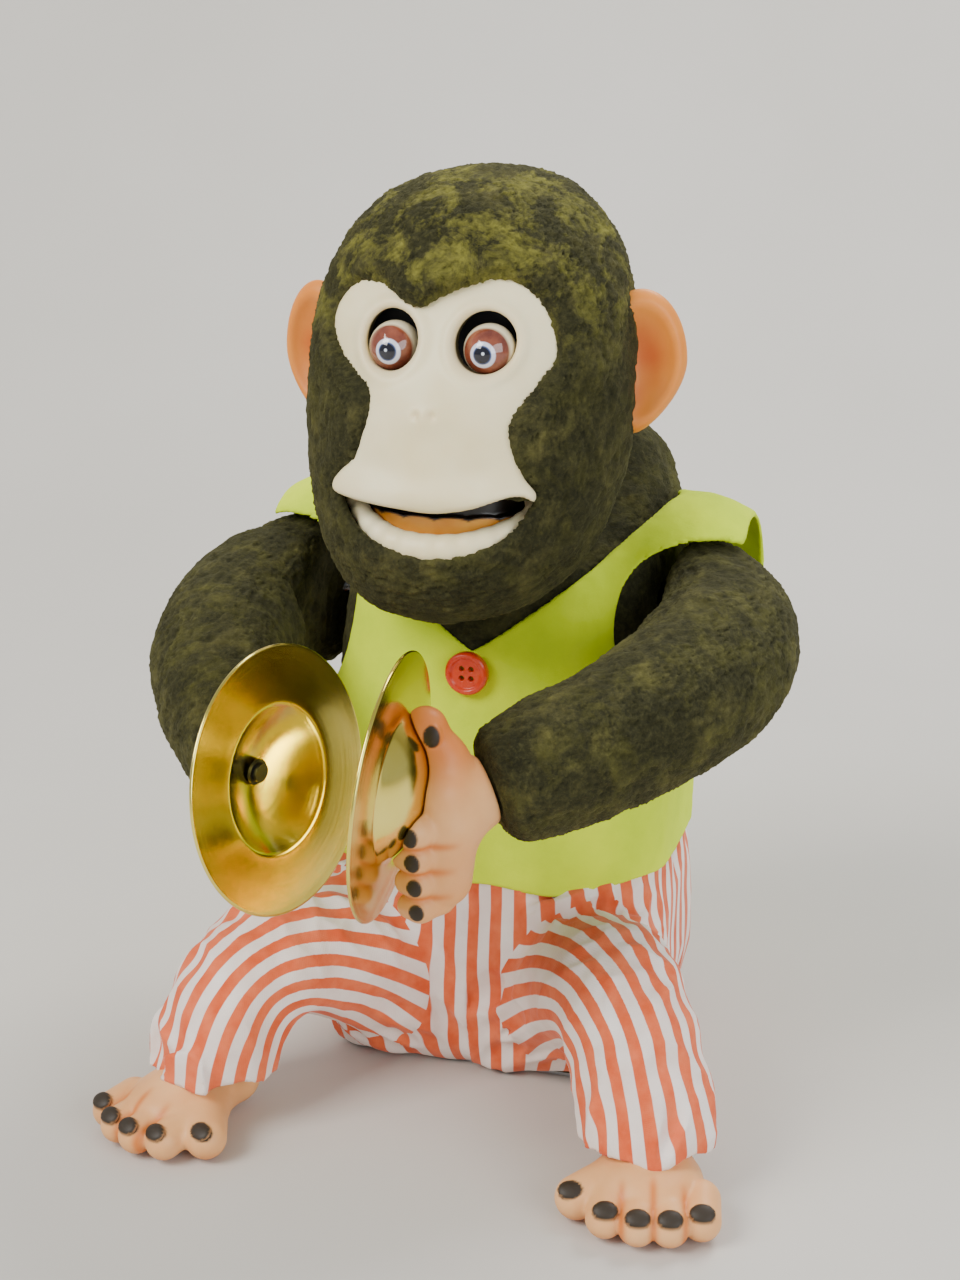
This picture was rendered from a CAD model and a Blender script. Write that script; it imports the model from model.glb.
import math

import bpy
import numpy as np
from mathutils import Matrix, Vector


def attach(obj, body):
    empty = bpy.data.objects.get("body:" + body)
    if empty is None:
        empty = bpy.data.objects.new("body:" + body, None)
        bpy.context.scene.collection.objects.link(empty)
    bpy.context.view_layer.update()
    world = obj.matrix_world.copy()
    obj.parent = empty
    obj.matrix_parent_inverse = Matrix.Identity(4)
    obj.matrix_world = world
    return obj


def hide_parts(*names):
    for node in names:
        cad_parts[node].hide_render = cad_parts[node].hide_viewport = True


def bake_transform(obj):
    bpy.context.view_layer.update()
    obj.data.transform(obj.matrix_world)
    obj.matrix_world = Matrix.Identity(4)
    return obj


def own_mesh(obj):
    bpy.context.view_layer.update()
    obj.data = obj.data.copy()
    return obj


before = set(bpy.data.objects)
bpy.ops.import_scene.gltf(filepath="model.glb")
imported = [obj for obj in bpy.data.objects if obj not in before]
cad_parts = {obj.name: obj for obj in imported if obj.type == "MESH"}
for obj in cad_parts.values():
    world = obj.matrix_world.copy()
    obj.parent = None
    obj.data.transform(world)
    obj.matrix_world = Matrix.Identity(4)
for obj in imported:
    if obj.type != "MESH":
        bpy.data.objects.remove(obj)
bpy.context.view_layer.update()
MM = 0.001

# ---------------------------------------------------------------- noise (all lengths in mm)


def _hash(ix, iy, iz, seed):
    h = (ix.astype(np.int64) * 374761393 + iy.astype(np.int64) * 668265263
         + iz.astype(np.int64) * 2147483647 + seed * 1274126177) & 0xFFFFFFFF
    h = ((h ^ (h >> 13)) * 1274126177) & 0xFFFFFFFF
    h = ((h ^ (h >> 16)) * 2246822519) & 0xFFFFFFFF
    return (h ^ (h >> 15)) & 0xFFFFFFFF


def noise(p, size, seed=0):
    """Smooth value noise in [-1, 1] with features of about `size` mm."""
    q = p / size
    i = np.floor(q).astype(np.int64)
    f = q - i
    f = f * f * (3 - 2 * f)
    out = 0
    for dx in (0, 1):
        wx = f[:, 0] if dx else 1 - f[:, 0]
        for dy in (0, 1):
            wy = f[:, 1] if dy else 1 - f[:, 1]
            for dz in (0, 1):
                wz = f[:, 2] if dz else 1 - f[:, 2]
                v = _hash(i[:, 0] + dx, i[:, 1] + dy, i[:, 2] + dz, seed) / 0xFFFFFFFF
                out = out + wx * wy * wz * v
    return out * 2 - 1


# ---------------------------------------------------------------- distances (negative inside)


def mirrored(p):
    """The points with x folded to the left side, for shapes that are alike on both sides."""
    return np.stack([np.abs(p[:, 0]), p[:, 1], p[:, 2]], -1)


def ellipsoid(p, c, r):
    q = (p - np.array(c, float)) / np.array(r, float)
    k0 = np.linalg.norm(q, axis=1)
    k1 = np.linalg.norm(q / np.array(r, float), axis=1)
    return k0 * (k0 - 1) / np.maximum(k1, 1e-9)


def tilted(p, c, r, tilt):
    """An ellipsoid leaning `tilt` degrees about the x axis."""
    q = p - np.array(c, float)
    a = math.radians(tilt)
    y = q[:, 1] * math.cos(a) + q[:, 2] * math.sin(a)
    z = -q[:, 1] * math.sin(a) + q[:, 2] * math.cos(a)
    return ellipsoid(np.stack([q[:, 0], y, z], -1), (0, 0, 0), r)


def capsule(p, a, b, ra, rb=None):
    a, b = np.array(a, float), np.array(b, float)
    rb = ra if rb is None else rb
    ab = b - a
    t = np.clip((p - a) @ ab / (ab @ ab), 0, 1)
    return np.linalg.norm(p - a - t[:, None] * ab, axis=1) - (ra + (rb - ra) * t)


def smin(a, b, k):
    h = np.maximum(k - np.abs(a - b), 0) / k
    return np.minimum(a, b) - h * h * k * 0.25


def smax(a, b, k):
    return -smin(-a, -b, k)


def tube(p, pts, radii, k):
    """Capsules along a line of points, melted into each other."""
    d = capsule(p, pts[0], pts[1], radii[0], radii[1])
    for i in range(1, len(pts) - 1):
        d = smin(d, capsule(p, pts[i], pts[i + 1], radii[i], radii[i + 1]), k)
    return d


def rounded_box(x, y, half, front, back, r):
    cy, hy = (front + back) / 2, (back - front) / 2
    qx, qy = np.abs(x) - half + r, np.abs(y - cy) - hy + r
    return np.hypot(np.maximum(qx, 0), np.maximum(qy, 0)) + np.minimum(np.maximum(qx, qy), 0) - r


def poly2d(x, z, outline):
    """Signed distance in a plane to a closed outline, negative inside."""
    v = np.array(outline, float)
    w = np.roll(v, -1, axis=0)
    best = np.full(x.shape, 1e9)
    inside = np.zeros(x.shape, bool)
    for (ax, az), (bx, bz) in zip(v, w):
        ex, ez = bx - ax, bz - az
        t = np.clip(((x - ax) * ex + (z - az) * ez) / (ex * ex + ez * ez), 0, 1)
        best = np.minimum(best, (x - ax - t * ex) ** 2 + (z - az - t * ez) ** 2)
        cross = (az > z) != (bz > z)
        side = x < ex * (z - az) / (ez if ez else 1e-9) + ax
        inside ^= cross & side
    d = np.sqrt(best)
    return np.where(inside, -d, d)


def smooth_outline(points, n=3):
    """Closed Catmull-Rom curve through the points, n steps to a point."""
    v = np.array(points, float)
    out = []
    for i in range(len(v)):
        a, b, c, d = (v[(i + k) % len(v)] for k in (-1, 0, 1, 2))
        for t in np.arange(n) / n:
            out.append(0.5 * (2 * b + (c - a) * t + (2 * a - 5 * b + 4 * c - d) * t * t
                              + (3 * b - a - 3 * c + d) * t ** 3))
    return np.array(out)


def curve(points, t):
    """Bezier curve of four control points."""
    p0, p1, p2, p3 = (np.array(p, float) for p in points)
    t = np.asarray(t, float)[:, None]
    return ((1 - t) ** 3 * p0 + 3 * t * (1 - t) ** 2 * p1
            + 3 * t * t * (1 - t) * p2 + t ** 3 * p3)


def table(z, zs, vs, blur=2.5):
    """Smooth interpolation of a list of values; `blur` is in mm."""
    step, reach = 0.5, 24
    g = np.arange(zs[0] - 30, zs[-1] + 30, step)
    v = np.interp(g, zs, vs)
    k = np.exp(-0.5 * (np.arange(-reach, reach + 1) * step / blur) ** 2)
    v = np.convolve(np.pad(v, reach, mode="edge"), k / k.sum(), mode="valid")
    return np.interp(z, g, v)


def step01(x, a, b):
    t = np.clip((x - a) / (b - a), 0, 1)
    return t * t * (3 - 2 * t)


def bell(x, width):
    return np.exp(-(x / width) ** 2)


def gradient(f, p, h):
    e = h * np.eye(3)
    return np.stack([(f(p + e[k]) - f(p - e[k])) / (2 * h) for k in range(3)], -1)


def unit_slope(f, p):
    """Turns an implicit function into something close to a distance."""
    g = gradient(f, p, 0.4)
    return f(p) / np.maximum(np.sqrt((g * g).sum(1)), 0.002)


# ---------------------------------------------------------------- surfaces

BLOCK = 6          # cells along the edge of a block that is sampled as a whole
BATCH = 400000     # points sampled at a time


def contour(f, lo, hi, step, newton=2):
    """Vertices and quads of the surface f = 0 in a box, by surface nets on the blocks it cuts."""
    lo, hi = np.array(lo, float), np.array(hi, float)
    n = (np.ceil((hi - lo) / step / BLOCK).astype(int)) * BLOCK + 1
    axes = [lo[i] + step * np.arange(n[i]) for i in range(3)]
    cn = (n - 1) // BLOCK
    cc = [lo[i] + step * BLOCK * (np.arange(cn[i]) + 0.5) for i in range(3)]
    g = np.stack(np.meshgrid(*cc, indexing="ij"), -1).reshape(-1, 3)
    fc = f(g).reshape(cn)
    near = np.abs(fc) < step * BLOCK * 1.35 + 1.5
    val = np.where(fc < 0, -1e3, 1e3)
    for ax in range(3):
        val = np.repeat(val, BLOCK, ax)
    val = np.pad(val, ((0, 1),) * 3, mode="edge")
    mask = np.zeros(n, bool)
    for corner in np.argwhere(near) * BLOCK:
        mask[tuple(slice(c, c + BLOCK + 1) for c in corner)] = True
    idx = np.argwhere(mask)
    pts = np.stack([axes[k][idx[:, k]] for k in range(3)], -1)
    for s in range(0, len(pts), BATCH):
        val[tuple(idx[s:s + BATCH].T)] = f(pts[s:s + BATCH])
    inside = val < 0
    shape = tuple(n - 1)
    total = np.zeros(shape + (3,))
    count = np.zeros(shape)
    crossings = []
    for ax in range(3):
        a = [slice(None)] * 3
        b = [slice(None)] * 3
        a[ax], b[ax] = slice(0, -1), slice(1, None)
        va, vb = val[tuple(a)], val[tuple(b)]
        cross = inside[tuple(a)] != inside[tuple(b)]
        e = np.argwhere(cross)
        t = va[cross] / (va[cross] - vb[cross])
        pos = np.stack([axes[k][e[:, k]] for k in range(3)], -1)
        pos[:, ax] += t * step
        crossings.append((ax, e, inside[tuple(a)][cross]))
        o1, o2 = [k for k in range(3) if k != ax]
        for d1 in (0, -1):
            for d2 in (0, -1):
                c = e.copy()
                c[:, o1] += d1
                c[:, o2] += d2
                ok = ((c >= 0) & (c < np.array(shape))).all(1)
                np.add.at(total, tuple(c[ok].T), pos[ok])
                np.add.at(count, tuple(c[ok].T), 1)
    used = count > 0
    number = np.full(shape, -1)
    number[used] = np.arange(used.sum())
    verts = total[used] / count[used][:, None]
    quads = []
    for ax, e, start_in in crossings:
        o1, o2 = [k for k in range(3) if k != ax]
        ok = (e[:, o1] > 0) & (e[:, o2] > 0) & (e[:, o1] < shape[o1]) & (e[:, o2] < shape[o2])
        e, s = e[ok], start_in[ok]
        q = []
        for d1, d2 in ((-1, -1), (0, -1), (0, 0), (-1, 0)):
            c = e.copy()
            c[:, o1] += d1
            c[:, o2] += d2
            q.append(number[tuple(c.T)])
        q = np.stack(q, -1)
        flip = s if ax != 1 else ~s
        q[~flip] = q[~flip][:, ::-1]
        quads.append(q)
    quads = np.concatenate(quads)
    for _ in range(newton):
        v0 = f(verts)
        g = gradient(f, verts, 0.15)
        g2 = np.maximum((g * g).sum(1), 0.05)
        verts = verts - np.clip(v0 / g2, -0.6 * step, 0.6 * step)[:, None] * g
    return verts, quads


def detail(full):
    return full


def face_normals(verts, quads):
    a, b, c, d = (verts[quads[:, k]] for k in range(4))
    return np.cross(c - a, d - b)


def normals_of(verts, quads):
    fn = face_normals(verts, quads)
    n = np.zeros_like(verts)
    for k in range(4):
        np.add.at(n, quads[:, k], fn)
    return n / np.maximum(np.linalg.norm(n, axis=1), 1e-12)[:, None]


def untangle(verts, quads, rounds=6):
    """Eases the corners of folded-over faces to the mean of their neighbours."""
    verts = verts.copy()
    for _ in range(rounds):
        n = normals_of(verts, quads)
        fn = face_normals(verts, quads)
        folded = (fn * n[quads].mean(1)).sum(1) < 0.25 * np.linalg.norm(fn, axis=1)
        if not folded.any():
            break
        total, count = np.zeros_like(verts), np.zeros(len(verts))
        for k in range(4):
            for other in (quads[:, (k + 1) % 4], quads[:, k - 1]):
                np.add.at(total, quads[:, k], verts[other])
                np.add.at(count, quads[:, k], 1)
        hit = np.unique(quads[folded])
        verts[hit] = total[hit] / count[hit][:, None]
    return verts


def make(name, verts, faces, mat):
    me = bpy.data.meshes.new(name)
    me.from_pydata((np.asarray(verts) * MM).tolist(), [], np.asarray(faces).tolist())
    me.validate()
    ob = bpy.data.objects.new(name, me)
    bpy.context.scene.collection.objects.link(ob)
    me.materials.append(mat)
    me.shade_smooth()
    return ob


def attribute(ob, name, values):
    """A value per vertex, read by the material of that piece."""
    at = ob.data.attributes.new(name, "FLOAT", "POINT")
    at.data.foreach_set("value", np.asarray(values, np.float32))


def place(ob, body, node):
    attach(ob, body)
    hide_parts(node)


# ---------------------------------------------------------------- materials


class Nodes:
    """A few lines of help for writing a node material."""

    def __init__(self, name, **settings):
        self.m = bpy.data.materials.new(name)
        self.m.use_nodes = True
        self.t = self.m.node_tree
        self.b = self.t.nodes["Principled BSDF"]
        self.co = self.t.nodes.new("ShaderNodeTexCoord").outputs["Object"]
        self.set(**settings)

    def node(self, kind, inputs, **props):
        n = self.t.nodes.new(kind)
        for k, v in props.items():
            setattr(n, k, v)
        for k, v in inputs.items():
            self.put(n.inputs[k], v)
        return n

    def put(self, socket, v):
        if isinstance(v, bpy.types.NodeSocket):
            self.t.links.new(v, socket)
        elif socket.type == "RGBA":
            socket.default_value = (*v, 1)
        else:
            socket.default_value = v

    def noise(self, scale, octaves=3.0, rough=0.55, distortion=0.0):
        return self.node("ShaderNodeTexNoise", {
            "Scale": scale, "Detail": octaves, "Roughness": rough,
            "Distortion": distortion, "Vector": self.co}).outputs["Fac"]

    def ramp(self, fac, *stops):
        n = self.node("ShaderNodeValToRGB", {"Fac": fac})
        while len(n.color_ramp.elements) < len(stops):
            n.color_ramp.elements.new(0.5)
        for e, (pos, col) in zip(n.color_ramp.elements, stops):
            e.position = pos
            e.color = (*col, 1)
        return n.outputs["Color"]

    def math(self, op, a, b=0.0, c=None, clamp=False):
        n = self.node("ShaderNodeMath", {0: a, 1: b}, operation=op, use_clamp=clamp)
        if c is not None:
            self.put(n.inputs[2], c)
        return n.outputs[0]

    def scaled(self, fac, gain, offset, clamp=False):
        return self.math("MULTIPLY_ADD", fac, gain, offset, clamp)

    def mix(self, fac, a, b):
        return self.node("ShaderNodeMix", {"Factor": fac, 6: a, 7: b}, data_type="RGBA").outputs[2]

    def attr(self, name):
        return self.node("ShaderNodeAttribute", {}, attribute_name=name).outputs["Fac"]

    def bump(self, height, strength, distance):
        """Adds relief; a second call lies on top of the first."""
        n = self.node("ShaderNodeBump",
                      {"Height": height, "Strength": strength, "Distance": distance})
        if self.b.inputs["Normal"].is_linked:
            self.put(n.inputs["Normal"], self.b.inputs["Normal"].links[0].from_socket)
        self.put(self.b.inputs["Normal"], n.outputs["Normal"])

    def set(self, **kw):
        for k, v in kw.items():
            self.put(self.b.inputs[k.replace("_", " ")], v)


def srgb(r, g, b):
    def linear(c):
        c = c / 255
        return c / 12.92 if c <= 10 / 255 else ((c + 0.055) / 1.055) ** 2.4
    return tuple(linear(c) for c in (r, g, b))


def fur_material():
    n = Nodes("plush_fur", Roughness=0.92, Specular_IOR_Level=0.15, Sheen_Weight=0.25,
              Sheen_Roughness=0.45, Sheen_Tint=srgb(150, 145, 95))
    mottle = n.noise(120.0, 5.0, 0.68)
    fine = n.noise(900.0, 3.0, 0.65, distortion=0.6)
    dark = n.ramp(mottle, (0.32, srgb(27, 27, 16)), (0.52, srgb(47, 46, 27)),
                  (0.68, srgb(84, 80, 44)))
    patch = n.scaled(n.noise(100.0, 5.0, 0.72, distortion=0.4), 5.0, -2.35, clamp=True)
    dark = n.mix(n.math("MULTIPLY", patch, n.attr("crown")), dark, srgb(150, 146, 62))
    tip = n.ramp(fine, (0.3, srgb(30, 30, 18)), (0.7, srgb(112, 108, 66)))
    col = n.mix(n.math("MULTIPLY", fine, 0.35), dark, tip)
    between_tufts = n.scaled(n.attr("pile"), -0.6, 0.6, clamp=True)
    n.set(Base_Color=n.mix(between_tufts, col, srgb(24, 25, 14)))
    n.bump(n.noise(1600.0, 2.0, 0.7, distortion=1.2), 0.55, 0.0005)
    n.bump(n.noise(520.0, 3.0, 0.6, distortion=0.8), 0.5, 0.0008)
    return n.m


def vinyl_material(name, stops, grain, rough, specular, blue):
    """Soft vinyl; returns the nodes, the grained colour and the roughness."""
    n = Nodes(name, Subsurface_Weight=0.15, Subsurface_Scale=0.002,
              Subsurface_Radius=(1.0, 0.6, blue), Specular_IOR_Level=specular)
    return n, n.ramp(n.noise(*grain), *stops), n.scaled(n.noise(rough[0]), rough[1], 0.36)


def cream_material():
    stops = (0.35, srgb(236, 220, 170)), (0.65, srgb(246, 234, 192))
    n, col, rough = vinyl_material("ivory_vinyl", stops, (40.0, 3.0), (160.0, 0.16), 0.42, 0.4)
    col = n.mix(n.attr("warm"), col, srgb(222, 190, 140))
    n.set(Base_Color=n.mix(n.attr("deep"), col, srgb(60, 52, 30)), Roughness=rough)
    n.bump(n.noise(600.0), 0.05, 0.0003)
    n.bump(n.noise(60.0, 2.0), 0.08, 0.0015)
    return n.m


def skin_material(name, light, base, orange):
    stops = (0.3, base), (0.7, light)
    n, col, rough = vinyl_material(name, stops, (50.0, 4.0), (170.0, 0.18), 0.4, 0.25)
    col = n.mix(n.attr("warm"), col, orange)
    n.set(Base_Color=n.mix(n.attr("nail"), col, srgb(46, 36, 24)),
          Roughness=n.scaled(n.attr("nail"), 0.08, rough))
    n.bump(n.noise(650.0), 0.07, 0.0003)
    n.bump(n.noise(120.0), 0.1, 0.0012)
    return n.m


def amber_material():
    n = Nodes("amber_teeth", Specular_IOR_Level=0.5, Subsurface_Weight=0.1, Subsurface_Scale=0.002)
    col = n.ramp(n.noise(70.0), (0.3, srgb(226, 140, 40)), (0.7, srgb(244, 176, 70)))
    n.set(Base_Color=n.mix(n.attr("dark"), col, srgb(28, 20, 12)),
          Roughness=n.scaled(n.noise(200.0), 0.2, 0.22))
    n.bump(n.noise(300.0), 0.1, 0.0004)
    return n.m


def eye_material():
    """Glossy paint: a red-brown cap, a pale ring, a blue rim and a dark pupil, by vertex place."""
    n = Nodes("eye_paint", Roughness=0.08, Specular_IOR_Level=0.55, Coat_Weight=0.5)
    ex, ez = n.attr("ex"), n.attr("ez")

    def disc(cx, cz, r, soft=0.25):
        a, b = n.math("SUBTRACT", ex, cx), n.math("SUBTRACT", ez, cz)
        square = n.math("ADD", n.math("MULTIPLY", a, a), n.math("MULTIPLY", b, b))
        return n.scaled(n.math("SQRT", square), -1 / soft, (r + soft / 2) / soft, clamp=True)

    ivory = srgb(236, 224, 190)
    cap = n.ramp(n.noise(260.0), (0.3, srgb(104, 48, 34)), (0.7, srgb(146, 78, 54)))
    col = n.mix(disc(0.1, 0.0, 5.8, 0.5), ivory, cap)
    col = n.mix(disc(-0.1, -0.5, 3.25), col, srgb(214, 216, 232))
    col = n.mix(disc(-0.1, -0.5, 2.35), col, srgb(60, 76, 118))
    col = n.mix(disc(-0.1, -0.5, 2.05), col, srgb(8, 11, 28))
    col = n.mix(disc(0.2, -0.1, 0.38), col, srgb(225, 235, 245))
    n.set(Base_Color=n.mix(n.attr("rear"), col, ivory))
    n.bump(n.noise(150.0, 2.0), 0.03, 0.0003)
    return n.m


def felt_material():
    n = Nodes("lime_felt", Roughness=0.9, Specular_IOR_Level=0.15, Sheen_Weight=0.35,
              Sheen_Roughness=0.5, Sheen_Tint=srgb(225, 245, 110))
    lime = n.ramp(n.noise(60.0, 4.0), (0.3, srgb(196, 224, 0)), (0.7, srgb(218, 242, 6)))
    nap = n.math("MULTIPLY", n.noise(1500.0, 2.0, 0.7, distortion=1.0), 0.22)
    n.set(Base_Color=n.mix(nap, lime, srgb(232, 246, 90)))
    n.bump(n.noise(1300.0, 3.0, 0.7, distortion=1.5), 0.35, 0.0003)
    n.bump(n.noise(90.0), 0.25, 0.0012)
    return n.m


def button_material():
    n = Nodes("button_plastic", Specular_IOR_Level=0.5)
    n.set(Base_Color=n.ramp(n.noise(200.0), (0.35, srgb(206, 50, 22)), (0.65, srgb(224, 72, 34))),
          Roughness=n.scaled(n.noise(500.0), 0.2, 0.18))
    n.bump(n.noise(900.0, 2.0), 0.06, 0.0002)
    return n.m


def brass_material():
    """Spun metal: fine rings about the centre from the distance held in `rad`."""
    n = Nodes("spun_brass", Metallic=1.0, Coat_Weight=0.4, Coat_Roughness=0.08)
    tint = n.ramp(n.noise(30.0, 4.0), (0.3, srgb(224, 200, 72)), (0.7, srgb(246, 230, 124)))
    along = n.node("ShaderNodeCombineXYZ", {"X": n.math("MULTIPLY", n.attr("rad"), 7.0)}).outputs[0]
    rings = n.node("ShaderNodeTexNoise",
                   {"Vector": along, "Scale": 1.0, "Detail": 4.0}).outputs["Fac"]
    smear = n.noise(55.0, 4.0, 0.6)
    n.set(Base_Color=tint, Roughness=n.scaled(smear, 0.16, n.scaled(rings, 0.08, 0.02)))
    n.bump(rings, 0.12, 0.0002)
    return n.m


def cotton_material():
    """Stripes running down the body and along each leg, from the angles about their axes."""
    n = Nodes("striped_cotton", Roughness=0.85, Specular_IOR_Level=0.2, Sheen_Weight=0.15)

    def stripes(a, b, count):
        angle = n.math("ARCTAN2", n.attr(a), n.attr(b))
        waver = n.scaled(n.noise(45.0), 0.7, -0.35)
        s = n.math("SINE", n.math("ADD", n.math("MULTIPLY", angle, float(count)), waver))
        return n.scaled(s, 5.0, 0.5, clamp=True)

    on_leg = n.math("GREATER_THAN", n.attr("zone"), 0.0)
    stripe = n.node("ShaderNodeMix", {"Factor": on_leg, 2: stripes("ba", "bb", 44),
                                      3: stripes("la", "lb", 17)}, data_type="FLOAT").outputs[0]
    white = n.ramp(n.noise(70.0), (0.3, srgb(232, 214, 204)), (0.7, srgb(246, 236, 228)))
    orange = n.ramp(n.noise(150.0), (0.3, srgb(216, 88, 44)), (0.7, srgb(234, 118, 74)))
    n.set(Base_Color=n.mix(stripe, white, orange))
    threads = [n.node("ShaderNodeTexWave", {"Vector": n.co, "Scale": 700.0, "Distortion": 1.5},
                      bands_direction=way).outputs["Fac"] for way in ("X", "Z")]
    n.bump(n.math("ADD", *threads), 0.15, 0.0002)
    n.bump(n.noise(130.0, 4.0), 0.3, 0.0012)
    return n.m


def metal(name, base, rough):
    n = Nodes(name, Metallic=1.0)
    n.set(Base_Color=n.ramp(n.noise(60.0, 4.0), (0.3, tuple(c * 0.85 for c in base)), (0.7, base)),
          Roughness=n.scaled(n.noise(300.0, 4.0), 0.15, rough - 0.075))
    n.bump(n.noise(900.0), 0.08, 0.0002)
    return n.m


def plastic(name, base, rough):
    n = Nodes(name, Specular_IOR_Level=0.45)
    n.set(Base_Color=n.ramp(n.noise(80.0), (0.3, tuple(c * 0.9 for c in base)), (0.7, base)),
          Roughness=n.scaled(n.noise(400.0), 0.14, rough - 0.07))
    n.bump(n.noise(1200.0, 2.0), 0.12, 0.0002)
    return n.m


FUR = fur_material()
CREAM = cream_material()
SKIN = skin_material("peach_vinyl", srgb(240, 186, 128), srgb(230, 166, 104), srgb(212, 118, 46))
EAR = skin_material("ear_vinyl", srgb(238, 150, 56), srgb(230, 134, 42), srgb(208, 90, 10))

# ---------------------------------------------------------------- pile


def fur(verts, quads, high=1.0, seed=0, lay=(0, 0, -1)):
    """Raises short tufts along the normals; returns the moved vertices and the pile, 0 to 1."""
    n = normals_of(verts, quads)
    g = np.array(lay, float)
    along = g - (n @ g)[:, None] * n
    along /= np.maximum(np.linalg.norm(along, axis=1), 0.2)[:, None]
    q = verts - 0.55 * (verts * along).sum(1)[:, None] * along
    q = q + 0.9 * np.stack([noise(verts, 6.0, seed + k) for k in (11, 12, 13)], -1)
    a = 1 - np.abs(noise(q, 3.1, seed + 1)) * 1.6
    b = 1 - np.abs(noise(q, 1.9, seed + 2)) * 1.6
    c = noise(q, 1.15, seed + 3)
    patch = 0.5 + 0.5 * noise(verts, 9.0, seed + 4)
    tuft = 0.42 * a + 0.36 * b * (0.6 + 0.6 * patch) + 0.2 * c
    swell = 0.55 * noise(verts, 7.5, seed + 5) + 0.5 * noise(verts, 15.0, seed + 6)
    out = verts + n * (high * (1.15 * tuft + swell) + 0.2)[:, None]
    out = out + along * (high * 0.5 * np.clip(tuft, 0, 1))[:, None]
    return out, np.clip(tuft * 0.8 + 0.25, 0, 1)


def fur_piece(name, surface, high, seed, keep=None, lay=(0, 0, -1), crown=None):
    """A furry piece; `keep` scales its tufts and `crown` how olive it is, paler up the head."""
    v, q = surface
    v2, pile = fur(v, q, high, seed, lay)
    if keep is not None:
        v2 = v + (v2 - v) * keep[:, None]
    ob = make(name, v2, q, FUR)
    attribute(ob, "pile", pile)
    if crown is None:
        crown = 0.15 + 0.75 * step01(v[:, 2], 205, 240)
    attribute(ob, "crown", np.broadcast_to(crown, len(v)))
    return ob


# ---------------------------------------------------------------- head

FACE_Z = [136, 150, 160, 173, 180, 190, 199, 206, 212, 220, 232, 246, 262]
FACE_Y = [-66, -74, -78, -80, -81, -80, -79, -75, -71.5, -69, -64, -57, -46]
FACE_BEND = [.010, .010, .010, .0105, .0105, .016, .018, .013, .0105, .009, .007, .007, .007]
MASK = smooth_outline([
    (-5.4, 225.4), (-11.5, 228.2), (-16.4, 230.7), (-22.5, 230.5), (-27.2, 226.9), (-30.5, 221.6),
    (-30.7, 215.8), (-27.3, 209.9), (-21.9, 206), (-17.5, 202.5), (-17.4, 198.1), (-19, 192.1),
    (-20.9, 186.7), (-25.1, 182.7), (-27.4, 179.5), (-26.5, 177.1), (-21.1, 176.1), (-13.9, 175.5),
    (-5.9, 174.9), (0.3, 174.4), (5.1, 174.6), (11.9, 175.8), (17.5, 177.7), (21.2, 178.8),
    (24.3, 178.7), (26.6, 177.4), (26.9, 179.8), (23.9, 183.3), (22, 187.2), (20, 194),
    (21.2, 197.8), (24.8, 202.1), (27.9, 207), (30.1, 210.8), (30.1, 215.8), (28.4, 221.3),
    (25.2, 227.3), (20.1, 231.1), (13.4, 232.1), (6.9, 230.7), (0.9, 228.1), (-3, 225.8)])
MOUTH = smooth_outline([
    (-26.5, 178.5), (-26.2, 174), (-22.5, 168.6), (-17, 164.6), (-9, 162), (0, 161.2), (9, 162),
    (17, 164.6), (22.5, 168.6), (26.2, 174), (26.5, 178.5), (13, 180), (0, 180), (-13, 180)])
SOCKET_X, SOCKET_Z = 12.3, 215.7
NOSTRIL_X, NOSTRIL_Z = 2.1, 198.6
NECK_COS, NECK_SIN = math.cos(math.radians(38.3)), math.sin(math.radians(38.3))
VINYL_STEP = detail(0.55)


def face_y(x, z):
    """How far forward the face lies: a profile in z, bent round with x squared."""
    return table(z, FACE_Z, FACE_Y) + table(z, FACE_Z, FACE_BEND) * x * x


def head_egg(p):
    x, y, z = p.T
    t = (z - 198) / np.where(z > 198, 58.5, 55)
    yc = -41 + np.where(t > 0, 11 * np.clip(t, 0, 1) ** 2, -16 * np.clip(t, -1, 0) ** 2)
    jowl = np.clip(-t, 0, 1)
    wide = np.where(z > 198, 43.2, 43.2 - 1.6 * jowl)
    deep = np.where(t > 0, 39, 39 - 2.5 * jowl)
    rho = np.sqrt(((x - 0.035 * (z - 200)) / wide) ** 2 + ((y - yc) / deep) ** 2)
    n = np.where(t > 0, 2.5, 2.6)
    return (rho ** n + np.abs(t) ** n) ** (1 / n) - 1


def head_solid(p):
    """The egg, cut back in front so that the plush starts behind the mask."""
    x, y, z = p.T
    away = np.clip(poly2d(x, z, MASK[::2]), -3, 40)
    brow = face_y(np.clip(x, -34, 34), z) - 2.2 - 0.55 * np.clip(away, 0, 40)
    brow = brow - 1.2 * np.clip(away, 0, 2.5)
    near = np.clip((z - 168) / 12, 0, 1)
    cut = (brow - y) * 0.82 * near - 14 * (1 - near)
    return smax(unit_slope(head_egg, p), cut, 9)


def head_plush(p):
    x, y, z = p.T
    below = (z - 139) * NECK_COS - (y + 49) * NECK_SIN
    bag = smax(head_solid(p), -np.maximum(below, np.abs(x) - 32), 2.0)
    shell = np.maximum(bag, -(bag + 3))
    window = np.minimum(poly2d(x, z, MASK) + 0.9, poly2d(x, z, MOUTH) + 1.3)
    cut = np.maximum(window, np.maximum(y + 50, y - face_y(x, z) - 12))
    shell = smax(shell, -cut, 1.4)
    post_hole = 14 - np.hypot(x, y + 20) - np.where(z > 178, 30, 0)
    return np.maximum(shell, post_hole)


surface = contour(head_plush, (-46, -86, 134), (46, 10, 263), detail(0.82))
keep = 0.25 + 0.75 * step01(head_solid(surface[0]), -2.2, -0.6)
ob = fur_piece("head_fur", surface, 1.0, 3, keep, (0, 0.35, -1))
place(ob, "head", "head_plush")


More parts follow.
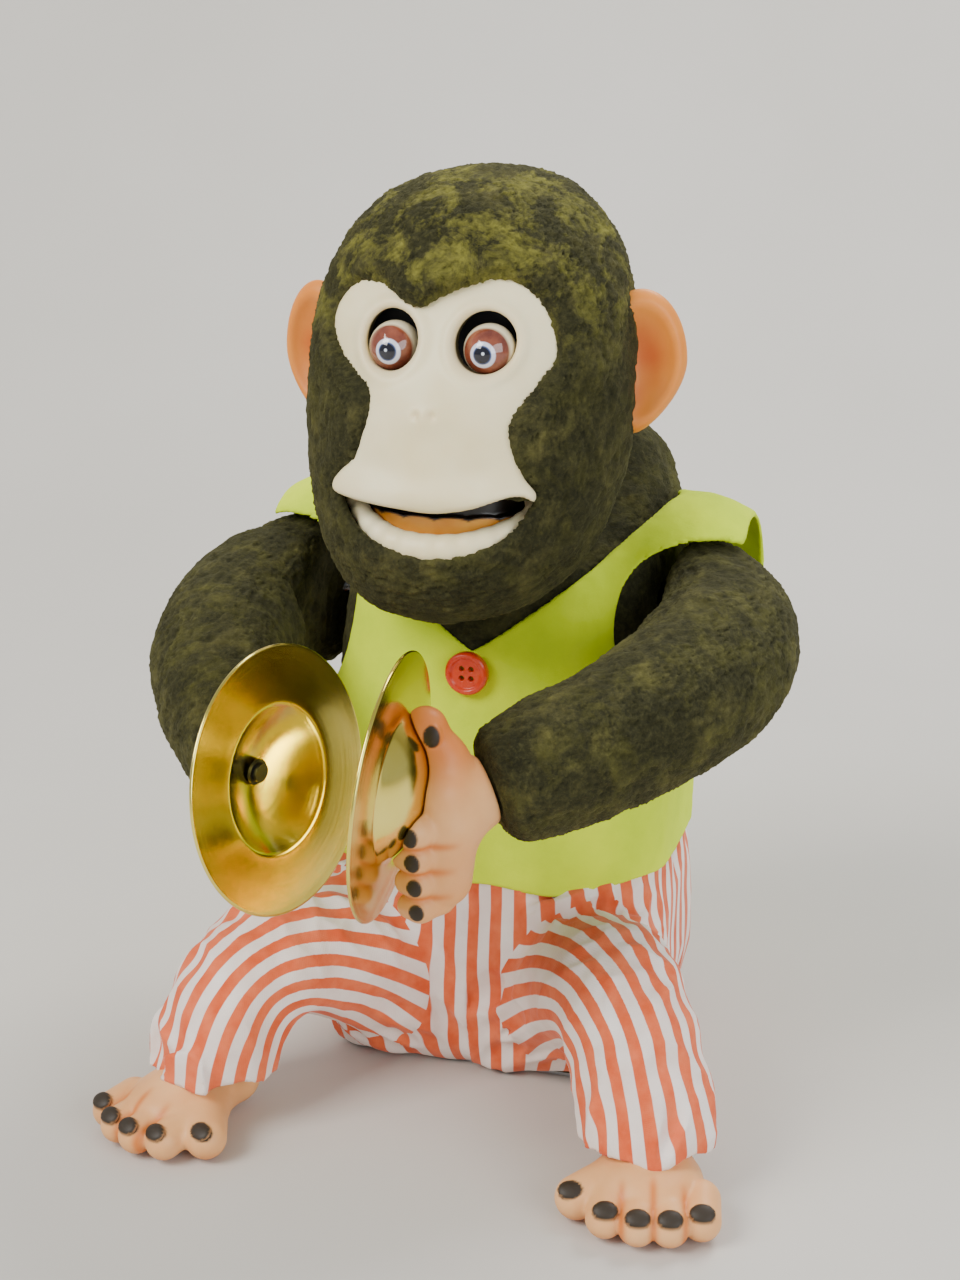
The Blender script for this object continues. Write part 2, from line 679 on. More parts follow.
def mask_front(x, z):
    ax = np.abs(x)
    eye = np.hypot(ax - SOCKET_X, z - SOCKET_Z)
    nostril = np.hypot(ax - NOSTRIL_X, z - NOSTRIL_Z)
    f = face_y(x, z)
    f = f - 0.9 * bell(eye - 9.3, 1.6)
    f = f - 1.6 * bell(z - 177.5 - 0.0012 * x * x, 4.2) * np.exp(-(x / 30) ** 4)
    f = f + 0.9 * bell(z - 184.5, 3.5) * bell(ax - 14, 9)
    f = f - 1.7 * bell(z - 199.5, 5.0) * bell(x, 6.0)
    f = f + 0.9 * bell(nostril, 1.1)
    return f + 0.5 * bell(z - 208, 3.0) * bell(ax - 9, 6)


def mask_sdf(p):
    x, y, z = p.T
    f = mask_front(x, z)
    slope = 1 / np.sqrt(1 + (0.024 * x) ** 2 + 0.12)
    layer = np.abs(y - f - 1.0) * slope - 1.0
    d = smax(layer, poly2d(x, z, MASK), 1.6)
    for side in (-1, 1):
        hole = np.hypot(x - side * SOCKET_X, z - SOCKET_Z)
        d = smax(d, 7.6 - hole, 1.2)
        cup = np.maximum(np.abs(hole - 8.2) - 0.6, np.maximum(f + 0.6 - y, y - f - 5.0))
        d = np.minimum(d, cup)
    return d


v, q = contour(mask_sdf, (-34, -86, 171), (34, -46, 235), VINYL_STEP)
ob = make("face_mask_vinyl", v, q, CREAM)
sx = np.abs(v[:, 0])
eye = np.hypot(sx - SOCKET_X, v[:, 2] - SOCKET_Z)
nostril = bell(np.hypot(sx - NOSTRIL_X, v[:, 2] - NOSTRIL_Z), 1.3)
depth = v[:, 1] - mask_front(v[:, 0], v[:, 2])
attribute(ob, "warm", np.clip(0.35 * nostril + 0.25 * step01(-eye, -10.5, -8), 0, 1))
attribute(ob, "deep", step01(depth, 1.2, 2.6))
place(ob, "head", "face_mask")

LIP_HALF = [(0, -77, 164.7, 3.45), (5, -76.4, 164.9, 3.4), (10, -74.9, 165.5, 3.3),
            (14, -72.8, 166.7, 3.1), (18, -70, 168.3, 2.8), (22, -66.6, 171, 2.3),
            (24.6, -64.2, 173.5, 1.8), (25.5, -63, 176, 1.5)]
LIP = [(-x, y, z, r) for x, y, z, r in LIP_HALF[:0:-1]] + LIP_HALF


def lip_sdf(p):
    """The lip and the two arms that carry it back to the jaw hinge."""
    d = tube(p, [at[:3] for at in LIP], [at[3] for at in LIP], 1.5)
    for s in (-1, 1):
        d = smin(d, capsule(p, (s * 24, -64.4, 173.6), (s * 19.7, -54, 177), 2.1, 1.6), 1.5)
        d = smin(d, capsule(p, (s * 19.7, -54, 177), (s * 19.4, -38, 180), 1.6, 2.0), 1.5)
        d = smin(d, capsule(p, (s * 18.5, -38, 180), (s * 23.5, -38, 180), 1.9), 0.6)
    return d


v, q = contour(lip_sdf, (-31, -84, 157), (31, -32, 184), VINYL_STEP)
ob = make("lower_lip_vinyl", v, q, CREAM)
attribute(ob, "warm", 0.55 * step01(v[:, 1] + 0.6 * v[:, 2] - 0.3 * np.abs(v[:, 0]), 26, 34))
attribute(ob, "deep", np.zeros(len(v)))
place(ob, "jaw", "lower_lip")


def tooth_arch(x, y):
    """Distance outside the arch of the teeth, and the scallop along it, 0 between two teeth."""
    x, y = x / 1.52, y + 58
    return np.hypot(x, y) - 12.4, np.abs(np.sin(np.arctan2(x, -y) * 7.5))


def teeth_sdf(p):
    x, y, z = p.T
    arch, scallop = tooth_arch(x, y)
    tooth = 0.55 * scallop ** 0.5
    lower = np.maximum(np.abs(arch - 0.5) - 1.2 - 0.3 * tooth, np.abs(z - 168) - 3.6 - tooth)
    back = np.maximum(np.abs(arch + 0.5) - 0.6, np.abs(z - 172) - 7)
    return np.maximum(smin(lower, back, 0.6), y + 58)


v, q = contour(teeth_sdf, (-24, -74, 162), (24, -56, 181), detail(0.4))
ob = make("teeth_moulded", v, q, amber_material())
edge = 170.5 + 0.9 * tooth_arch(v[:, 0], v[:, 1])[1] ** 0.6
attribute(ob, "dark", step01(v[:, 2], edge, edge + 0.5))
place(ob, "head", "teeth_plate")


def ear_axes(x, y):
    """Along and across an ear that stands out 24 degrees from the side of the head."""
    c, s = math.cos(math.radians(24)), math.sin(math.radians(24))
    return (x - 44.5) * c + (y + 37) * s, -(x - 44.5) * s + (y + 37) * c


def ear_sdf(p):
    u, w = ear_axes(p[:, 0], p[:, 1])
    h = p[:, 2] - 208.5
    lobe = np.clip(-h / 18.5, 0, 1)
    u = (u + 2.0 * lobe ** 2) / (1 - 0.30 * lobe ** 1.5)
    q = np.stack([u, w, h], -1)
    d = ellipsoid(q, (0, 0, 0), (12.4, 5.2, 18.6))
    d = smax(d, -ellipsoid(q, (-0.6, -5.0, -0.2), (10.2, 5.6, 15.9)), 1.8)
    d = smin(d, ellipsoid(q, (-5.5, -1.2, 0), (3.6, 1.6, 8.5)), 2.5)
    return np.maximum(d, -(unit_slope(head_egg, p) + 0.4))


ear_v, ear_q = contour(ear_sdf, (36, -52, 186), (62, -24, 230), VINYL_STEP)
for name, side in (("left", 1), ("right", -1)):
    v = ear_v * np.array([side, 1, 1])
    ob = make("ear_vinyl_" + name, v, ear_q[:, ::side], EAR)
    u, _ = ear_axes(ear_v[:, 0], ear_v[:, 1])
    inside = 1 - np.hypot((u + 0.6) / 9.5, (ear_v[:, 2] - 208) / 15)
    glow = step01(inside, -0.05, 0.6) * (0.55 + 0.45 * noise(v, 6.0, 5))
    attribute(ob, "warm", np.clip(glow, 0, 1))
    attribute(ob, "nail", np.zeros(len(v)))
    place(ob, "head", "ear_" + name)

BALL_X, BALL_Y, BALL_Z = 12.5, -64.5, 213.5


def eye_sdf(p):
    """Two balls with a low cornea and a bore for the pins of their bar."""
    q = mirrored(p)
    d = ellipsoid(q, (BALL_X, BALL_Y, BALL_Z), (6.7, 6.7, 6.7))
    d = smin(d, ellipsoid(q, (12.3, -69.0, 213.1), (3.4, 2.6, 3.4)), 1.0)
    bore = np.maximum(np.hypot(q[:, 0] - BALL_X, q[:, 2] - BALL_Z) - 2.1, -61.7 - q[:, 1])
    return smax(d, -bore, 0.4)


v, q = contour(eye_sdf, (-21, -74, 205), (21, -56, 222), 0.4)
ob = make("eyeballs_painted", v, q, eye_material())
attribute(ob, "ex", np.abs(v[:, 0]) - 12.4 - np.where(v[:, 0] > 0, 0.25, 0))
attribute(ob, "ez", v[:, 2] - BALL_Z)
attribute(ob, "rear", step01(v[:, 1], -66, -65))
place(ob, "eyes", "eyeballs")

# ---------------------------------------------------------------- torso, neck and vest

TORSO = {
    "z": [1.6, 20, 50, 90, 118, 135, 148, 158, 166, 174, 182, 188],
    "half": [43.5, 46, 48, 49, 48, 46, 45.5, 44.5, 42.5, 39, 33, 25],
    "front": [-41, -43, -44, -44, -42, -38, -29, -16, -2, 6, 10, 13],
    "back": [41, 42, 43, 43, 43, 43, 43, 42.5, 41.5, 39, 36, 32],
    "round": [15, 20, 26, 30, 30, 28, 24, 20, 16, 14, 12, 9.3],
}


def section(sizes):
    """A column whose rounded cross-section follows a table of sizes."""
    def f(p):
        x, y, z = p.T
        return rounded_box(x, y, *(table(z, sizes["z"], sizes[k], 4)
                                   for k in ("half", "front", "back", "round")))
    return f


TORSO_SIDE = section(TORSO)


def switch_slot(p):
    """The slot at the back for the knob of the switch, through skin and trousers."""
    x, y, z = p.T
    return np.maximum(np.maximum(np.abs(x) - 8, 30 - y), np.abs(z - 20.2) - 5.8)


def torso_upper(p):
    return smax(unit_slope(TORSO_SIDE, p), p[:, 2] - 187.5, 10)


def torso_solid(p):
    return smax(torso_upper(p), 1.6 - p[:, 2], 3)


def torso_shell(p):
    x, y, z = p.T
    d = torso_solid(p)
    shell = np.maximum(d, -(d + 3))
    floor_hole = np.maximum(np.maximum(np.abs(x) - 38.7, np.abs(y) - 37.4), z - 4.4)
    shell = np.maximum(shell, -floor_hole)
    post_hole = np.where(z > 118, 13 - np.hypot(x, y + 20), -9)
    shaft_hole = np.where(np.abs(x) > 34, 10 - np.hypot(y + 5, z - 134), -9)
    shell = np.maximum(np.maximum(shell, post_hole), shaft_hole)
    return np.maximum(shell, -switch_slot(p))


surface = contour(torso_shell, (-53, -48, 0.6), (53, 47, 190), detail(1.15))
height = surface[0][:, 2]
keep = step01(torso_solid(surface[0]), -2.4, -0.4) * step01(height, 50, 66)
keep = keep * (0.25 + 0.75 * step01(height, 100, 130))
place(fur_piece("torso_fur", surface, 0.9, 21, keep), "trunk", "torso_plush")


def neck_sdf(p):
    """A short plush neck, leaning like the cut under the head."""
    x, y, z = p.T
    across = (y + 20) * NECK_COS + (z - 161.9) * NECK_SIN
    along = (z - 161.9) * NECK_COS - (y + 20) * NECK_SIN
    wall = (np.hypot(x / 27, across / 20) - 1) * 22
    return smax(np.abs(wall) - 1.2, np.abs(along + 3) - 6.5, 1.0)


surface = contour(neck_sdf, (-32, -48, 138), (32, 10, 186), detail(0.85))
ob = fur_piece("neck_fur", surface, 0.6, 33)
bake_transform(ob)

ARMHOLE_AT = np.array([53, -4, 134.0])
ARMHOLE_WAY = np.array([0.4506, -0.8843, -0.1219])
SHOULDER_CAP = np.array([53, -1, 138.7])


def vest_base(p):
    cap = np.linalg.norm(mirrored(p) - SHOULDER_CAP, axis=1) - 26.4
    return smin(torso_upper(p), cap, 7)


def vest_sdf(p):
    x, y, z = p.T
    sx = np.abs(x)
    d = np.abs(vest_base(p) - 2.0) - 0.8
    wave = 0.9 * np.sin(x * 0.16 + 1.0) * (y < 0) + 0.7 * np.sin(y * 0.13)
    hem = 59.5 + wave + 0.6 * np.sin(x * 0.07 + 2) + 0.045 * sx
    d = smax(d, hem - z, 1.0)
    d = smax(d, z - 169.6 + 0.38 * np.maximum(y - 2, 0), 1.0)
    v_neck = (z - 128.2 - 0.62 * sx - 0.0042 * sx * sx) * 0.8
    front = np.maximum(-np.minimum(v_neck, 60), y - 3.0)
    yoke = np.maximum(sx - 37.2 - 0.9 * np.clip(z - 156, 0, 40), 153.3 - z)
    back = smax(np.maximum(yoke, -3 - y), 153.0 - z, 3.0)
    d = smax(d, -smin(front, back, 3.0), 1.5)
    q = mirrored(p) - ARMHOLE_AT
    out = q @ ARMHOLE_WAY
    rad = np.linalg.norm(q - out[:, None] * ARMHOLE_WAY, axis=1)
    d = smax(d, -np.maximum(rad - 26.6, -out), 1.0)
    d = smax(d, sx - 69.6, 1.0)
    under_cap = np.maximum(51.8 - sx, z - 114.1)
    return np.maximum(d, -under_cap)


v, q = contour(vest_sdf, (-76, -54, 55), (76, 50, 176), detail(0.8))
v = untangle(v, q)
v = v + normals_of(v, q) * (0.12 * noise(v, 3.0, 40) + 0.35 * noise(v, 16.0, 41))[:, None]
place(make("vest_felt", v, q, felt_material()), "trunk", "vest")


def button_sdf(p):
    x, y, z = p[:, 0], p[:, 1], p[:, 2] - 123
    r = np.hypot(x, z)
    d = smax(r - 6.0, np.abs(y + 46.0) - 1.1, 0.5)
    d = smin(d, np.hypot(r - 5.1, y + 47.0) - 0.85, 0.5)
    for cx in (-1.35, 1.35):
        for cz in (-1.35, 1.35):
            d = smax(d, 0.75 - np.hypot(x - cx, z - cz), 0.25)
    return d


v, q = contour(button_sdf, (-7, -49, 116), (7, -44, 130), detail(0.25))
ob = make("vest_button_moulded", v, q, button_material())
place(ob, "trunk", "vest_button")

# ---------------------------------------------------------------- arms, drawn on the left

SHOULDER_X, SHOULDER_Y = 33, -4
REST_SWING = math.radians(-5)
SLEEVE = [(56, -7, 134), (82, -30, 131), (66, -70, 124), (37, -92, 112)]
WRIST = np.array([37, -92, 112.0])
CUFF = np.array([0.7595, 0.5723, 0.309])
CYM_AT = np.array([13.5, -118, 115.0])
CYM_WAY = np.array([0.9823, 0.1556, -0.1045])
DOME_R, DOME_TOP, DISC_TOP = 25.39, 8.9, 0.9
HAND_NAILS = [((23.2, -114.9, 128.2), (2.4, 1.8, 3.0))] + [
    ((21.6, -124.7 + 1.05 * k, 105.5 - 6.8 * k), (2.2, 1.1, 2.6 - 0.1 * k)) for k in range(4)]


def on_arm(v, q, side):
    """Takes a piece of the left arm (side 1) or its mirror image (side -1) to its rest angle."""
    c, s = math.cos(REST_SWING), math.sin(REST_SWING)
    x, y = side * (v[:, 0] - SHOULDER_X), v[:, 1] - SHOULDER_Y
    moved = np.stack([side * SHOULDER_X + c * x - s * y, SHOULDER_Y + s * x + c * y, v[:, 2]], -1)
    return moved, q[:, ::side]


def wire_bore(p):
    return capsule(p, WRIST, (26, -108, 106), 2.6)


def sleeve_sdf(p):
    t = np.linspace(0, 1, 15)
    d = tube(p, curve(SLEEVE, t), 22 - 6.5 * t, 3.0)
    d = smax(d, -8 - (p - WRIST) @ CUFF, 3.5)
    d = smax(d, -np.maximum(p[:, 0] - 52.5, -37 - p[:, 1]), 6)
    return np.maximum(d, -wire_bore(p))


def hand_sdf(p):
    """A half-closed hand with a hollow in the palm for the cymbal's dome."""
    palm, heel = (24.5, -111, 105), (24, -112, 91)
    d = smin(capsule(p, (29, -101, 110), palm, 9, 8.5), capsule(p, palm, heel, 8.5, 7.5), 3)
    thumb = tube(p, [(27, -106, 112), (24, -110, 121), (20.5, -111.5, 128.5)], [7, 5.4, 4.5], 2.5)
    d = smin(d, thumb, 4)
    d = smin(d, ellipsoid(p, (20, -112, 129), (4.9, 4.6, 5.2)), 2)
    d = smin(d, ellipsoid(p, (25, -113.5, 113.5), (6, 6.5, 6)), 4)
    for k in range(4):
        base = np.array([24, -115 + 0.6 * k, 106 - 6.8 * k])
        knuckle = base + [-3, -6 + 0.3 * k, -0.5]
        radii = [r - 0.15 * k for r in (4.3, 4.1, 3.8)]
        d = smin(d, tube(p, [base, knuckle, knuckle + [-3.0, 1, -0.5]], radii, 1.5), 0.9)
    for c, r in HAND_NAILS:
        d = smin(d, ellipsoid(p, c, r), 0.5)
    q = p - CYM_AT
    h = q @ CYM_WAY
    rad = np.linalg.norm(q - h[:, None] * CYM_WAY, axis=1)
    dome = np.hypot(rad, h - (DOME_TOP - DOME_R)) - DOME_R
    disc = np.maximum(h - DISC_TOP, rad - 60)
    d = smax(d, -(np.minimum(dome, disc) - 0.6), 0.6)
    return smax(d, (p - WRIST) @ CUFF + 9.0, 1.5)


def cymbal_profile():
    """Radius and height of the sheet: over the dome and disc, round the rim and back beneath."""
    top = []
    for r in np.concatenate([np.linspace(1.6, 17.2, 22), np.linspace(17.7, 19.6, 6),
                             np.linspace(20.5, 32.4, 14)]):
        dome = math.sqrt(max(DOME_R ** 2 - r * r, 0)) + DOME_TOP - DOME_R
        disc = DISC_TOP - DISC_TOP * max((r - 22) / 11, 0) ** 2
        top.append((r, 0.5 * (dome + disc + math.sqrt((dome - disc) ** 2 + 0.35))))
    edge = top[-1][1] - 0.47
    rim = [(32.75 + 0.45 * math.sin(a), edge + 0.45 * math.cos(a))
           for a in np.linspace(0.25, math.pi - 0.25, 7)]
    return np.array(top + rim + [(r, h - 0.85) for r, h in top[::-1]])


def cymbal_mesh(prof, around=160):
    e1 = np.cross(CYM_WAY, [0, 0, 1.0])
    e1 /= np.linalg.norm(e1)
    e2 = np.cross(CYM_WAY, e1)
    ang = np.linspace(0, 2 * math.pi, around, endpoint=False)
    spoke = np.cos(ang)[:, None] * e1 + np.sin(ang)[:, None] * e2
    rise = (prof[None, :, 1, None] + 0.35) * CYM_WAY
    v = CYM_AT + prof[None, :, 0, None] * spoke[:, None, :] + rise
    m = len(prof)
    i, j = np.meshgrid(np.arange(around), np.arange(m), indexing="ij")
    i2, j2 = (i + 1) % around, (j + 1) % m
    q = np.stack([i * m + j, i * m + j2, i2 * m + j2, i2 * m + j], -1)
    return v.reshape(-1, 3), q.reshape(-1, 4), np.tile(prof[:, 0], around)


sleeve_v, sleeve_q = contour(sleeve_sdf, (16, -112, 88), (100, 18, 160), detail(0.85))
around_bore = step01(np.abs(wire_bore(sleeve_v)), 0.3, 1.5)
hand_v, hand_q = contour(hand_sdf, (8, -130, 78), (42, -90, 136), detail(0.5))
nail, gap = np.zeros(len(hand_v)), np.zeros(len(hand_v))
for c, r in HAND_NAILS:
    e = ellipsoid(hand_v, np.array(c) + [0, -0.4, 0], np.array(r) + [-0.1, 0.6, -0.1])
    nail = np.maximum(nail, step01(-e, -0.1, 0.2))
for k in range(3):
    between = bell(hand_v[:, 2] - (102.1 - 6.8 * k), 1.0) * step01(-hand_v[:, 1], 116, 120)
    gap = np.maximum(gap, between)
flush = 0.8 * gap + 0.75 * step01(hand_v[:, 2], 113, 126)
flush = flush + 0.3 * (0.5 + 0.5 * noise(hand_v, 9.0, 7))
cym_v, cym_q, cym_rad = cymbal_mesh(cymbal_profile())
BRASS = brass_material()

for name, side, seed in (("left", 1, 60), ("right", -1, 90)):
    body = "arm_" + name
    surface = on_arm(sleeve_v, sleeve_q, side)
    ob = fur_piece("sleeve_fur_" + name, surface, 1.0, seed, around_bore, (0.2, -0.5, -0.8), 0.2)
    place(ob, body, "sleeve_" + name)

    ob = make("hand_vinyl_" + name, *on_arm(hand_v, hand_q, side), SKIN)
    attribute(ob, "nail", nail)
    attribute(ob, "warm", np.clip(flush, 0, 1))
    place(ob, body, "hand_" + name)

    ob = make("cymbal_spun_" + name, *on_arm(cym_v, cym_q, side), BRASS)
    attribute(ob, "rad", cym_rad)
    place(ob, body, "cymbal_" + name)

# ---------------------------------------------------------------- trousers and feet

SEAT = {"z": [1.6, 20, 45, 56, 64], "half": [46.5, 50.5, 50.6, 49.3, 48.8],
        "front": [-44, -47, -46.8, -45.9, -45.2], "back": [43, 46, 45.6, 44.6, 44.2],
        "round": [17, 22, 27, 28, 28]}
SEAT_SIDE = section(SEAT)
LEG = [(26, -34, 26), (50, -66, 54), (58, -84, 44), (62, -86, 10)]
LEG_T = np.linspace(0, 1, 19)
LEG_LINE = curve(LEG, LEG_T)
LEG_R = np.interp(LEG_T, [0, 0.35, 0.6, 1], [19.5, 18.0, 16.2, 16.2])
CLOTH = 2.7


def pants_body(p):
    return smax(unit_slope(SEAT_SIDE, p), 1.8 - p[:, 2], 7)


def pants_leg(p):
    return tube(mirrored(p), LEG_LINE, LEG_R, 2.0)


def crease(p, e, size, stretch, seed):
    """Ridges in [-1, 1] drawn out along e; the two legs get different ones."""
    e = np.array(e, float) / np.linalg.norm(e)
    q = mirrored(p)
    q = q - (1 - 1 / stretch) * (q @ e)[:, None] * e + 2.2 * noise(p, 17.0, seed + 1)[:, None]
    q = q + np.where(p[:, :1] > 0, 0.0, 91.7)
    return 1 - 2 * np.abs(noise(q, size, seed))


def pants_outer(p):
    """The plain shape of seat and legs, and the same with its folds."""
    x, y, z = p.T
    sx = np.abs(x)
    seat, leg = pants_body(p), pants_leg(p)
    d = smin(seat, leg, 6.0)
    hip = bell(seat - leg, 11.0)
    front = step01(-y, 15, 40)
    knee = np.exp(-((sx - 54) / 10) ** 2 - ((y + 74) / 14) ** 2 - ((z - 40) / 16) ** 2)
    hang = step01(-z, -40, -22) * step01(sx, 42, 52) * step01(-y, 60, 68)
    waist = step01(z, 44, 56)
    fold = 1.5 * hip * crease(p, (0.75, -0.1, 0.65), 6.5, 5, 3)
    fold = fold + 0.8 * crease(p, (0.55, -0.3, 0.78), 9.0, 4, 13) * (0.4 + 0.6 * front)
    fold = fold + 1.5 * knee * crease(p, (0.7, 0.7, -0.1), 5.5, 3, 23)
    fold = fold + 1.9 * hang * crease(p, (0.05, 0.0, 1.0), 7.5, 9, 33)
    fold = fold + 0.5 * waist * crease(p, (0.0, 0.1, 1.0), 6.0, 6, 43) - 0.3 * waist
    return d, d - fold * 1.35


def pants_sdf(p):
    x, y, z = p.T
    sx = np.abs(x)
    inner, d = pants_outer(p)
    d = np.maximum(d, -(inner + CLOTH))
    hem = 15.0 + 0.8 * np.sin(x * 0.35) + 0.5 * np.sin(y * 0.5) - 0.06 * (y + 84)
    d = smax(d, -np.maximum(np.maximum(37 - sx, y + 64), z - hem), 0.5)
    d = smax(d, z - 63 - 0.8 * np.sin(np.arctan2(x, y) * 9), 0.8)
    d = np.maximum(d, -switch_slot(p))
    base = np.maximum(np.maximum(sx - 40, np.abs(y) - 38), z - 6)
    return np.maximum(d, -base)


def about_leg(v):
    """Where each point lies across the leg, in two directions square to its middle line."""
    q = mirrored(v)
    nearest, at = np.full(len(v), 1e9), np.zeros(len(v))
    fine = np.linspace(0, 1, 161)
    for t, point in zip(fine, curve(LEG, fine)):
        gap = ((q - point) ** 2).sum(1)
        better = gap < nearest
        nearest = np.where(better, gap, nearest)
        at[better] = t
    along = curve(LEG, np.clip(at + 0.01, 0, 1)) - curve(LEG, np.clip(at - 0.01, 0, 1))
    along /= np.linalg.norm(along, axis=1)[:, None]
    outer = np.array([0.55, 0.83, 0.0])
    u = outer - (along @ outer)[:, None] * along
    u /= np.linalg.norm(u, axis=1)[:, None]
    off = q - curve(LEG, at)
    return (off * u).sum(1), (off * np.cross(along, u)).sum(1)


v, q = contour(pants_sdf, (-82, -106, 0.6), (82, 51, 80), detail(0.85), newton=1)
ob = make("pants_cotton", v, q, cotton_material())
leg_a, leg_b = about_leg(v)
attribute(ob, "la", leg_a)
attribute(ob, "lb", leg_b)
attribute(ob, "ba", v[:, 0])
attribute(ob, "bb", -v[:, 1] + 0.001)
attribute(ob, "zone", pants_body(v) - pants_leg(v) - 0.6 + 1.5 * noise(v, 14.0, 71))
place(ob, "trunk", "pants")

TOE_TIPS = [(-10.8 + 8 * k, -26 - 3.5 * math.sin(math.radians(60 * k)), 5.9) for k in range(4)]
NAIL_R = (3.3, 2.6, 1.1)
FOOT_NAILS = [((x, y - 2.7, z + 3.8), 36) for x, y, z in TOE_TIPS] + [((-19.6, -20.2, 9.7), 34)]
FOOT_X, FOOT_Y = 62, -86


def foot_sdf(p):
    """The left foot about its own ankle."""
    heel = capsule(p, (0, 6, 8.5), (0.5, -8, 8.4), 8.0, 8.6)
    d = smin(ellipsoid(p, (0.5, -12, 7.6), (14.0, 15.5, 8.6)), heel, 4)
    d = smin(d, capsule(p, (0, 1, 14), (0.5, -11, 9), 8.2, 8.6), 4)
    for k, tip in enumerate(TOE_TIPS):
        d = smin(d, capsule(p, (-9.5 + 7.6 * k, -18, 6.8), tip, 5.2, 5.0), 0.9)
    d = smin(d, capsule(p, (-8, -10, 7), (-18, -17.5, 6.1), 6.4, 5.6), 2.2)
    for c, tilt in FOOT_NAILS:
        d = smin(d, tilted(p, c, NAIL_R, tilt), 0.4)
    d = np.maximum(d, -capsule(p, (-1, 0.5, 36), (0, 0, 15.7), 2.3))
    return smax(d, 0.05 - p[:, 2], 1.2)


foot_v, foot_q = contour(foot_sdf, (-27, -37, -1), (21, 17, 24), detail(0.6))
nail, gap = np.zeros(len(foot_v)), np.zeros(len(foot_v))
for c, tilt in FOOT_NAILS:
    e = tilted(foot_v, c, np.array(NAIL_R) + [0, 0, 2.2], tilt)
    nail = np.maximum(nail, step01(-e, -0.2, 0.2))
for k in range(3):
    between = bell(foot_v[:, 0] - (-6.8 + 7.9 * k), 1.0) * step01(-foot_v[:, 1], 19, 24)
    gap = np.maximum(gap, between)
sole = step01(-foot_v[:, 2], -5, -1)
flush = 0.8 * gap + 0.5 * sole + 0.25 * (0.5 + 0.5 * noise(foot_v, 10.0, 8))
for name, side, turn in (("left", 1, 14), ("right", -1, 26)):
    c, s = math.cos(math.radians(turn)), math.sin(math.radians(turn))
    x, y, z = foot_v.T
    v = np.stack([side * (FOOT_X + c * x - s * y), FOOT_Y + s * x + c * y, z], -1)
    ob = make("foot_vinyl_" + name, v, foot_q[:, ::side], SKIN)
    attribute(ob, "nail", nail)
    attribute(ob, "warm", np.clip(flush, 0, 1))
    place(ob, "trunk", "foot_" + name)

# ---------------------------------------------------------------- the mechanism keeps its shapes

COATS = {
    "tinplate": metal("tin_plate", (0.62, 0.64, 0.66), 0.38),
    "zinc_plate": metal("zinc_plated", (0.72, 0.74, 0.78), 0.32),
    "spring_steel": metal("spring_wire", (0.6, 0.61, 0.63), 0.28),
    "dark_steel": metal("black_oxide", (0.07, 0.07, 0.07), 0.4),
    "brass_gear": metal("gear_brass", (0.78, 0.6, 0.28), 0.3),
    "black_plastic": plastic("black_moulding", (0.025, 0.025, 0.028), 0.45),
    "nylon": plastic("nylon_moulding", (0.82, 0.8, 0.72), 0.5),
    "wire_pvc": plastic("wire_cover", (0.55, 0.05, 0.04), 0.35),
    "cell_wrap": plastic("cell_sleeve", (0.25, 0.27, 0.32), 0.3),
}
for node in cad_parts.values():
    for held in node.material_slots:
        key = held.material.name.split(".")[0] if held.material else None
        if key in COATS:
            held.material = COATS[key]

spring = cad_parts["neck_spring"]
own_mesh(spring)

# ---------------------------------------------------------------- floor, light, camera (metres)

AZ, EL = math.radians(17.3), math.radians(16.4)
FLOOR_HALF, COVE_AT, COVE_R, WALL_TOP = 3.0, 0.35, 0.5, 2.5


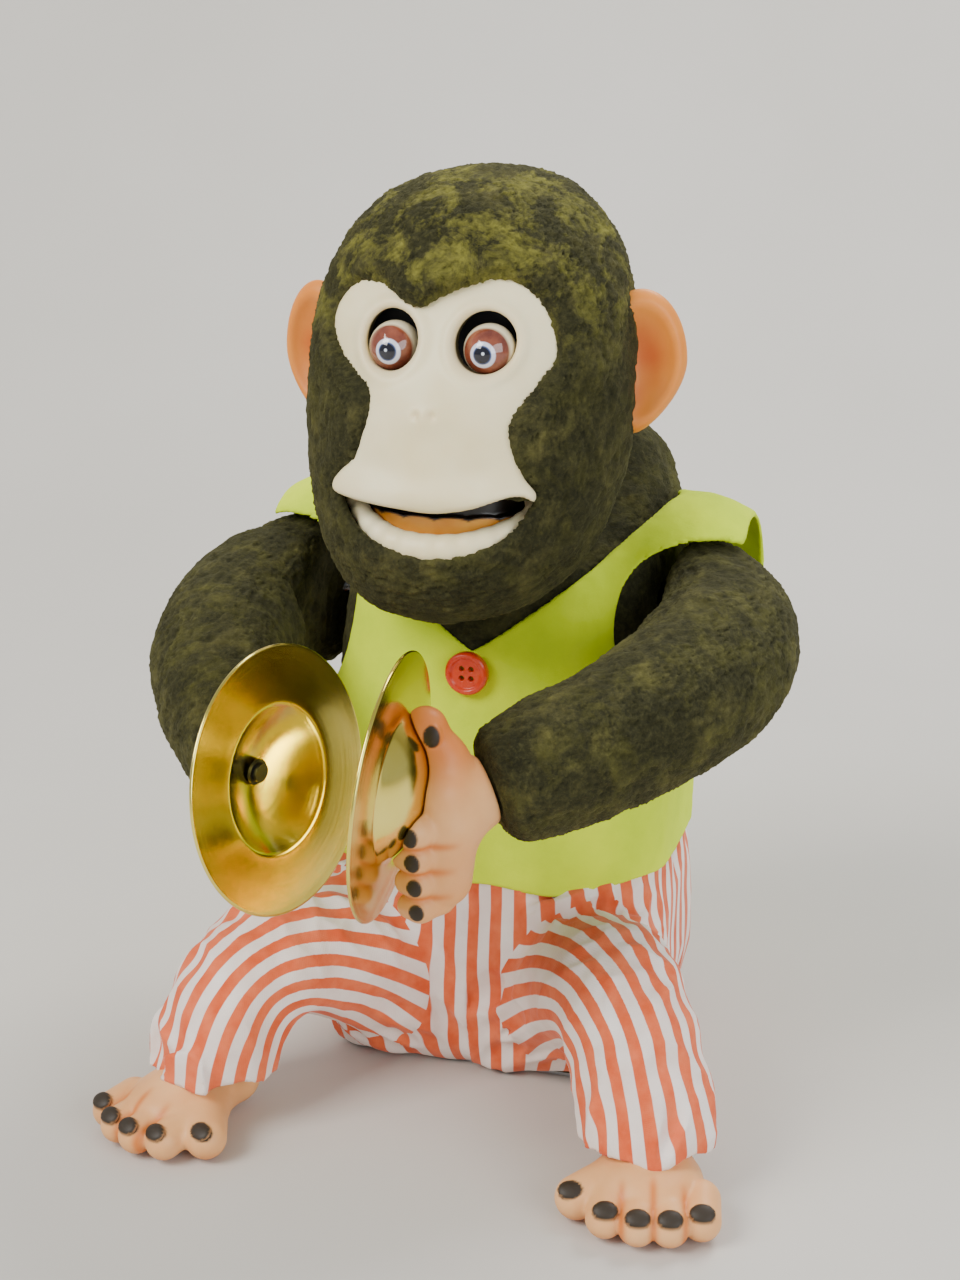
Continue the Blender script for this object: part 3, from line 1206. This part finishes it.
def studio_floor():
    """A pale sheet that runs up behind the object in a wide curve, square to the camera."""
    n = Nodes("studio_floor", Roughness=0.7, Specular_IOR_Level=0.2)
    n.set(Base_Color=n.ramp(n.noise(3.0), (0.3, srgb(198, 194, 186)), (0.7, srgb(206, 202, 195))))
    cove = [(COVE_AT + COVE_R * math.sin(a), COVE_R - COVE_R * math.cos(a))
            for a in np.linspace(0.1, math.pi / 2, 16)]
    line = [(-FLOOR_HALF, 0.0), (COVE_AT, 0.0)] + cove + [(COVE_AT + COVE_R, WALL_TOP)]
    c, s, k = math.cos(AZ), math.sin(AZ), len(line)
    points = [(x * c - y * s, x * s + y * c, z - 0.0002)
              for x in (-FLOOR_HALF, FLOOR_HALF) for y, z in line]
    me = bpy.data.meshes.new("studio_floor")
    me.from_pydata(points, [], [(i, k + i, k + i + 1, i + 1) for i in range(k - 1)])
    me.materials.append(n.m)
    me.shade_smooth()
    floor = bpy.data.objects.new("studio_floor", me)
    bpy.context.scene.collection.objects.link(floor)


def softbox(name, at, aim, width, height, power, colour=(1, 1, 1)):
    light = bpy.data.lights.new(name, "AREA")
    light.shape, light.size, light.size_y = "RECTANGLE", width, height
    light.energy, light.color = power, colour
    o = bpy.data.objects.new(name, light)
    o.location = at
    o.rotation_euler = (Vector(aim) - Vector(at)).to_track_quat("-Z", "Y").to_euler()
    bpy.context.scene.collection.objects.link(o)


studio_floor()
softbox("key", (-0.75, -1.05, 1.15), (0, -0.03, 0.12), 0.8, 0.8, 27, (1.0, 0.98, 0.94))
softbox("fill", (1.15, -0.85, 0.55), (0, -0.03, 0.12), 0.9, 0.9, 12, (0.95, 0.98, 1.0))
softbox("back", (0.35, 0.6, 1.2), (0, 0.0, 0.15), 0.7, 0.5, 14)
world = bpy.data.worlds.new("studio")
bpy.context.scene.world = world
world.use_nodes = True
sky = world.node_tree.nodes["Background"].inputs
sky[0].default_value = (0.82, 0.86, 0.92, 1)
sky[1].default_value = 0.6

TARGET, DISTANCE = Vector((0, -0.020, 0.120)), 0.529
SENSOR, FOCAL_PX, FRAME_PX = 36, 1840.5, 1280
back = Vector((math.sin(AZ) * math.cos(EL), -math.cos(AZ) * math.cos(EL), math.sin(EL)))
cam = bpy.data.cameras.new("camera")
cam.sensor_fit = "VERTICAL"
cam.sensor_height = SENSOR
cam.lens = SENSOR * FOCAL_PX / FRAME_PX
cam.shift_x, cam.shift_y = -0.012, 0.014
co = bpy.data.objects.new("camera", cam)
co.location = TARGET + DISTANCE * back
co.rotation_euler = (-back).to_track_quat("-Z", "Y").to_euler()
bpy.context.scene.collection.objects.link(co)
bpy.context.scene.camera = co
